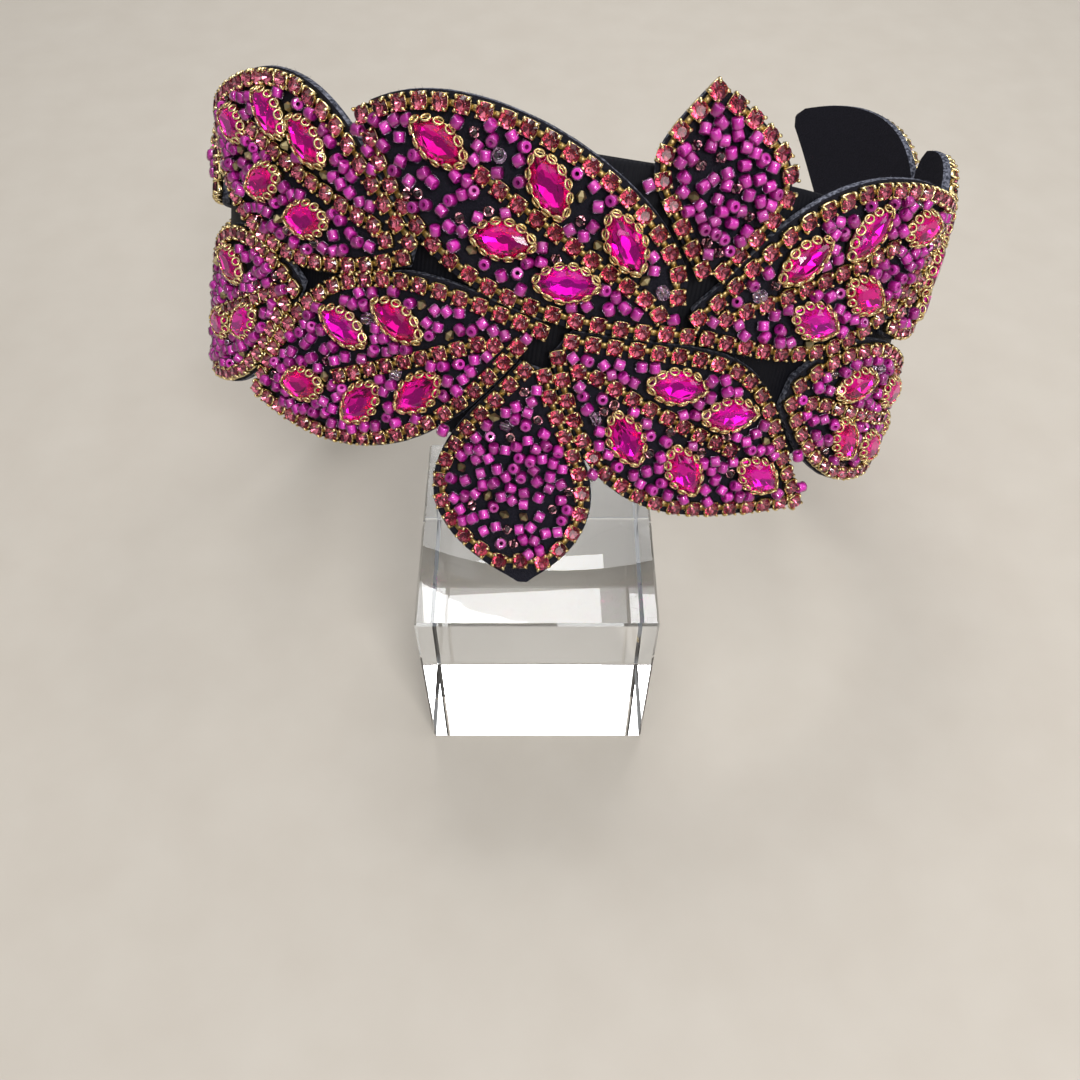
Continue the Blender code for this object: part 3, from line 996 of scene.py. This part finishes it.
def set_stone():
    """A setting from (share of the oval, height) pairs, its lace and its stone."""
    shape = Shape()
    walls = ((0.92, 0.05), (1.0, 0.5), (1.03, 1.9), (0.985, 1.95), (0.93, 0.9))
    shape.wall([oval(share, z, WALL_SIDES) for share, z in walls], GOLD, open_end=True)
    fine = [Vector(p) for p in oval(1.0, LACE_HEIGHT, LACE_STEPS)]
    lengths = np.cumsum([0.0] + [(b - a).length for a, b in zip(fine, fine[1:] + fine[:1])])
    for n in range(LACE_RINGS):
        goal = lengths[-1] * (n + 0.5) / LACE_RINGS
        i = int(np.searchsorted(lengths, goal)) % len(fine)
        along = (fine[(i + 3) % len(fine)] - fine[i - 3]).normalized()
        outward = along.cross(Vector((0, 0, 1)))
        shape.add(lace_ring(fine[i], outward, along))
    shape.add(oval_stone())
    return shape


one_set_stone = set_stone()
print("triangles in a set stone:", triangles(one_set_stone.faces))

# %% [markdown]
# Every leaf with a vein has about five of these stones, two on each side of the vein
# and one near the point. On the six leaves that face the front their places follow the
# real piece. On the others, most of which the front hides, they follow the same habit.

# %% Set stones on the leaves
# for each leaf, u, v and the angle of the long axis in degrees
STONES = {
    "front_left_upper": ((-37.6, 28.6, -25), (-16.4, 25.0, -57), (-23.4, 14.4, 2),
                         (-1.2, 17.4, -54), (-10.6, 8.7, 6)),
    "front_left_lower": ((-55.2, -9.4, -18), (-42.8, -5.0, -24), (-36.9, -18.2, 47),
                         (-49.8, -23.8, 52), (-65.6, -24.6, 13)),
    "front_right_upper": ((34.6, 18.0, 43), (48.4, 23.8, 54), (40.8, 6.6, -16),
                          (52.2, 11.8, -22), (64.8, 25.0, 4)),
    "front_right_lower": ((14.1, -7.9, 0), (6.0, -19.6, -56), (26.6, -13.0, 6),
                          (19.4, -25.4, -55), (37.0, -26.4, -31)),
    "side_left_upper": ((-67.4, 23.3, -33), (-79.2, 26.4, -33), (-80.6, 13.3, 25),
                        (-66.6, 9.0, 9), (-94.2, 22.0, -8)),
    "side_right_lower": ((58.2, -7.2, 12), (60.0, -19.7, -50), (75.2, -10.8, -12),
                         (72.6, -23.4, -30), (86.4, -21.6, -16)),
}
# on the lower left side leaf, three of them show from the front
SIDE_STONES = {
    "side_left_lower": ((-94.2, -6.9, -15), (-87.6, -17.6, 38), (-101.0, -22.0, 10)),
}
# share of the leaf's length from its root, share of its width at that place from the
# middle, and the angle from the leaf's axis in degrees
USUAL_PLACES = ((0.36, 0.52, 28), (0.40, -0.52, -28), (0.60, 0.50, 34),
                (0.64, -0.50, -34), (0.82, 0.0, 0))
STONE_ROOM = 3.2


def usual_stones(leaf):
    """Five stones placed by the leaf's own proportions."""
    found = []
    for share, off, angle in USUAL_PLACES:
        a, b = leaf.at(0, share), leaf.at(1, share)
        place = (a + b) / 2 + (a - b) / 2 * off
        way = leaf.point - leaf.root
        base = math.degrees(math.atan2(way.y, way.x))
        side = 1 if (a - b).dot(Vector((-way.y, way.x))) > 0 else -1
        room = (a - b).length / 2 * (1 - abs(off))
        if room > STONE_ROOM or off == 0.0:
            found.append((leaf.name, place.x, place.y, base + angle * side))
    return found


stone_piles = {leaf.name: Pile() for leaf in leaves if leaf.vein}
placed = STONES | SIDE_STONES
stone_rows = [(name, *place) for name, places in placed.items() for place in places]
for leaf in leaves:
    if leaf.vein and leaf.name not in placed:
        stone_rows += usual_stones(leaf)
for name, u, v, degrees in stone_rows:
    matrix = seat(u, v, FELT_TOP, math.radians(degrees))
    stone_piles[name].add(one_set_stone, matrix, dice.random())
for name, pile in stone_piles.items():
    piece = pile.make("set_stones_" + name, [gold, pink_glass, pink_foil])
    nodes = [f"stone_{name}_{i + 1}" for i in range(len(STONES.get(name, ())))]
    dress(piece, "pink_stone", *nodes)
print("set stones:", len(stone_rows))

# %% [markdown]
# The seed beads are clear glass with a coat of opaque orchid pink inside the hole.
# From the side the glass makes the pink core look wide, and from the end it is a
# clear ring round a pink one. Glass that bends the light in a renderer needs many
# samples, so the core is modelled as wide as it looks, inside a thin clear shell.

# %% Bead finishes
SHELL_BENDING = 1.8
SHELL_GLOSS = 0.85
SHELL_LEAST = 0.01


def clear_shell(name, tint):
    """Glass that shows what is in it: clear face on, shiny at a glancing angle."""
    paint = Paint(name, tint, 0.03, Metallic=1.0)
    clear = paint.nodes.new("ShaderNodeBsdfTransparent")
    glance = paint.node("ShaderNodeFresnel", None, {"IOR": SHELL_BENDING})
    blend = paint.nodes.new("ShaderNodeMixShader")
    paint.feed(blend.inputs[0], glance * SHELL_GLOSS + SHELL_LEAST)
    paint.links.new(clear.outputs[0], blend.inputs[1])
    paint.links.new(paint.shader.outputs[0], blend.inputs[2])
    paint.links.new(blend.outputs[0], paint.nodes["Material Output"].inputs["Surface"])
    return paint


shell = clear_shell("clear bead glass", (0.98, 0.86, 0.98))
lining = Paint("orchid lining", (0.70, 0.02, 0.36), 0.4)
streaks = lining.noise(2200.0, 2.0)
base = lining.mix(lining.number("tone"), (0.54, 0.004, 0.30), (0.98, 0.022, 0.67))
lining.shade(streaks * 0.35, base, (1.0, 0.15, 0.86))
khaki = Paint("khaki metal", (0.32, 0.25, 0.12), 0.34, Metallic=0.9)
khaki.shade(khaki.number("tone"), (0.22, 0.17, 0.08), (0.50, 0.41, 0.22))
rose_bead = tinted_glass("rose bead glass", (0.95, 0.40, 0.46), 0.05)
print("materials:", len(bpy.data.materials))

# %% [markdown]
# A seed bead is a turned shape, so it is a profile spun round its hole. Its ends are cut
# square, so their edges stay sharp. The faceted beads are two cones joined at their wide
# ends, some khaki metal and some rose glass.

# %% One of each bead
BEAD_RADIUS = 1.22
BEAD_LENGTH = 2.05
BEAD_SIDES = 14
CORE_RADIUS = 0.98
CORE_INSET = 0.18
CORE_BEVEL = 0.07
HOLE_RADIUS = 0.42
CONE_END = 0.35
BEAD_CREASE = math.radians(40)
# places of the finishes in a bead's list
SHELL = 0
LINING = 1
KHAKI = 2
ROSE = 3


def turned(profile, sides, finish, rounded=True, looped=False):
    """Spin a profile of (x, radius) round the x axis."""
    shape = Shape()
    rings = [[(x, y, z) for y, z, _ in circle(r, sides)] for x, r in profile]
    shape.wall(rings, finish, rounded, looped)
    return shape


def mirrored(profile):
    """A profile's other end first, then the profile backwards."""
    return [(-x, r) for x, r in profile] + list(profile[::-1])


def seed_bead(lined):
    half = BEAD_LENGTH / 2
    shape = Shape()
    outer = ((half, HOLE_RADIUS), (half, 0.95), (half - 0.08, 1.10), (half - 0.25, BEAD_RADIUS))
    shape.add(turned(mirrored(outer), BEAD_SIDES, SHELL, True, True))
    if lined:
        core = half - CORE_INSET
        inner = ((core, HOLE_RADIUS), (core, CORE_RADIUS - CORE_BEVEL),
                 (core - CORE_BEVEL, CORE_RADIUS))
        shape.add(turned(mirrored(inner), BEAD_SIDES, LINING, True, True))
    return shape


def cut_bead(radius, length, finish, sides=6):
    half = length / 2
    profile = ((-half, radius * CONE_END), (0.0, radius), (half, radius * CONE_END))
    return turned(profile, sides, finish, False)


lined_bead = seed_bead(True)
plain_bead = seed_bead(False)
khaki_bead = cut_bead(1.02, 2.0, KHAKI)
rose_cut_bead = cut_bead(1.05, 1.9, ROSE, 8)
bead_paints = [shell, lining, khaki, rose_bead]
print("triangles in a bead:", triangles(lined_bead.faces))

# %% [markdown]
# Beads are sewn wherever there is room, about their own width apart, and closer on the
# upper petal. The usual way to scatter them evenly is to throw darts: pick a random
# place, and keep it only if it is inside the leaf and clear of the chain, the stones
# and the beads that are there already.

# %% Scatter beads on a leaf
BEAD_SPACING = 2.22
CLOSE_SPACING = 1.95
DARTS = 5000
FROM_CHAIN = 1.9
FROM_CUP = 2.5
# half the length and width of the place that a set stone keeps free
STONE_REACH = (7.1, 4.4)
VEIN_POINTS = 40
STANDING_SHARE = 0.20
# degrees that a standing bead's hole is raised between, and usual tilt of a lying one
STANDS_BETWEEN = (50, 90)
LIES_WITHIN = 16
# usual lift off the felt, and how much it varies
STITCH_LIFT = (0.15, 0.35)
# each kind of bead, with the share of the beads up to and with it
KINDS = ((0.87, lined_bead), (0.89, plain_bead), (0.93, khaki_bead), (1.0, rose_cut_bead))


def inside(place, polygon):
    """Whether a place lies in a polygon, by counting the edges to its right."""
    x, y = place
    ax, ay = polygon.T
    bx, by = np.roll(ax, -1), np.roll(ay, -1)
    crosses = (ay > y) != (by > y)
    at = ax + (y - ay) / np.where(by == ay, 1e-9, by - ay) * (bx - ax)
    return bool(np.count_nonzero(crosses & (x < at)) % 2)


def clear_of_stones(place, rows):
    for _, u, v, degrees in rows:
        turn = math.radians(degrees)
        dx, dy = place[0] - u, place[1] - v
        x = dx * math.cos(turn) + dy * math.sin(turn)
        y = dy * math.cos(turn) - dx * math.sin(turn)
        if (x / STONE_REACH[0]) ** 2 + (y / STONE_REACH[1]) ** 2 < 1.0:
            return False
    return True


def bead_turn():
    """Most beads lie on their side, and some stand on end."""
    stands = dice.random() < STANDING_SHARE
    rise = math.radians(dice.uniform(*STANDS_BETWEEN) if stands else dice.gauss(0, LIES_WITHIN))
    return Matrix.Rotation(dice.uniform(0, 2 * math.pi), 4, "Z") @ Matrix.Rotation(-rise, 4, "Y")


cups = np.array(taken)


def scatter(leaf):
    polygon = outlines[leaf.name]
    rows = [row for row in stone_rows if row[0] == leaf.name]
    walls = polygon
    if leaf.vein:
        a, b = (np.array(end) for end in leaf.vein)
        steps = [a + (b - a) * k / VEIN_POINTS for k in range(VEIN_POINTS + 1)]
        walls = np.vstack([polygon] + steps)
    low, high = polygon.min(axis=0), polygon.max(axis=0)
    spacing = CLOSE_SPACING if leaf.name == "petal_top" else BEAD_SPACING
    kept = np.empty((0, 2))
    for _ in range(DARTS):
        place = np.array((dice.uniform(low[0], high[0]), dice.uniform(low[1], high[1])))
        if len(kept) and np.hypot(*(kept - place).T).min() < spacing:
            continue
        if np.hypot(*(walls - place).T).min() < FROM_CHAIN or not inside(place, polygon):
            continue
        if np.hypot(*(cups - place).T).min() < FROM_CUP:
            continue
        if clear_of_stones(place, rows):
            kept = np.vstack([kept, place])
    return kept


def bead_lift():
    """Height of a bead's middle: most on the felt, some riding on a stitch."""
    return FELT_TOP + BEAD_RADIUS + max(dice.gauss(*STITCH_LIFT), 0.0)


bead_count = 0
for leaf in leaves:
    pile = Pile()
    for place in scatter(leaf):
        pick = dice.random()
        kind = next(shape for share, shape in KINDS if pick <= share)
        matrix = leaf.seat(*place, bead_lift(), 0.0, bead_turn())
        pile.add(kind, matrix, dice.random())
    bead_count += len(pile.copies)
    piece = pile.make("seed_beads_" + leaf.name, bead_paints)
    piece.data.set_sharp_from_angle(angle=BEAD_CREASE)
    dress(piece, "pink_stone")
print("beads:", bead_count)

# %% [markdown]
# A few single beads hide the places where one leaf is sewn to the next.

# %% Beads at the joins
JOINS = ((-54.9, 27.6), (-52.3, 24.5), (-51.0, 21.5), (1.0, 27.7), (0.8, -28.1),
         (-30.7, -24.7), (46.8, -22.5), (50.4, -30.2))
JOIN_LIFT = FELT_TOP + 1.3
join_pile = Pile()
for u, v in JOINS:
    join_pile.add(lined_bead, seat(u, v, JOIN_LIFT, dice.uniform(0, math.pi)), dice.random())
dress(join_pile.make("join_beads", bead_paints), "pink_stone")
print("join beads:", len(join_pile.copies))

# %% [markdown]
# The block is one clear piece of polished glass. Its shape is right already, so it
# only needs its finish. A very light waviness in the polish keeps it from looking
# like a computed cube.

# %% Clear block
block_glass = Paint("clear block glass", (0.985, 0.995, 1.0), 0.0,
                    Transmission_Weight=1.0, IOR=1.517)
block_glass.bump(block_glass.noise(25.0, 1.0), 0.02, 0.1)
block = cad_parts["display_block"]
for slot in block.material_slots:
    slot.material = block_glass.material
print("block finish:", block.material_slots[0].material.name)

# %% [markdown]
# The floor is plain and pale, a little uneven in tone so that it looks like a real
# surface. It rides on no body, so it isn't part of the object.

# %% Floor
floor_paint = Paint("pale floor", (0.58, 0.53, 0.46), 0.55)
grain = floor_paint.noise(60.0, 3.0)
floor_paint.shade(grain, (0.55, 0.495, 0.425), (0.61, 0.56, 0.49))
FLOOR_HALF = 1.5
FLOOR_DROP = 0.05
corners = [(x * FLOOR_HALF, y * FLOOR_HALF, -FLOOR_DROP * MM)
           for x, y in ((-1, -1), (1, -1), (1, 1), (-1, 1))]
floor = put("floor", new_mesh("floor", corners, [(0, 1, 2, 3)], [floor_paint]))
print("floor side in metres:", 2 * FLOOR_HALF)

# %% [markdown]
# The light is soft: a wide ceiling lamp, which gives the pale gold on everything that
# faces up, and small ones in front, behind and at the side for the stones' sparkle.
# Glass shows mostly what it mirrors, so one small lamp hangs where the block's top
# mirrors it into the camera.

# %% Lamps and world
# name, place in metres, width and depth of the lamp, watts
LAMPS = (
    ("ceiling", (0.02, -0.05, 1.0), 1.2, 1.2, 4.7),
    ("lamp_behind", (0.05, 0.50, 0.70), 0.6, 0.35, 2.6),
    ("lamp_front", (0.20, -0.50, 0.62), 0.2, 0.15, 2.2),
    ("lamp_brow", (0.25, -0.90, 0.45), 0.5, 0.2, 1.2),
    ("lamp_side", (0.75, -0.10, 0.40), 0.2, 0.3, 0.7),
    ("lamp_block", (-0.025, 0.424, 0.70), 0.18, 0.072, 0.40),
)
AIM = Vector((0.0, 0.03, 0.08))
for name, place, width, depth, watts in LAMPS:
    lamp = bpy.data.lights.new(name, "AREA")
    lamp.shape = "RECTANGLE"
    lamp.size = width
    lamp.size_y = depth
    lamp.energy = watts
    holder = put(name, lamp)
    holder.location = place
    holder.rotation_euler = (Vector(place) - AIM).to_track_quat("Z", "Y").to_euler()

world = bpy.data.worlds.new("studio")
world.use_nodes = True
sky = world.node_tree.nodes["Background"].inputs
sky["Color"].default_value = (0.93, 0.96, 1.0, 1.0)
sky["Strength"].default_value = 0.22
bpy.context.scene.world = world
print("lamps:", len(LAMPS), "watts in all:", round(sum(lamp[4] for lamp in LAMPS), 2))

# %% [markdown]
# The camera looks down at the band from the front. Its place and lens were worked out
# from the edges of the block, whose true shape is known: a cube.

# %% Camera
CAMERA_PLACE = (0.65 * MM, -134.85 * MM, 222.45 * MM)
CAMERA_TILT = math.radians(37.34)
camera_data = bpy.data.cameras.new("camera")
camera_data.sensor_width = 36.0
camera_data.lens = 33.5
camera_data.clip_start = 0.01
camera = put("camera", camera_data)
camera.location = CAMERA_PLACE
camera.rotation_euler = (CAMERA_TILT, 0.0, 0.0)
bpy.context.scene.camera = camera
bpy.context.scene.view_settings.view_transform = "Standard"
print("camera height in metres:", camera.location.z)

# %% [markdown]
# Dressing must not change the size of the thing. The script ends by counting the
# triangles: in all the pieces, and in the one with the most.

# %% Measure and finish
print("triangles:", sum(made_pieces.values()), "most in a piece:", max(made_pieces.values()))
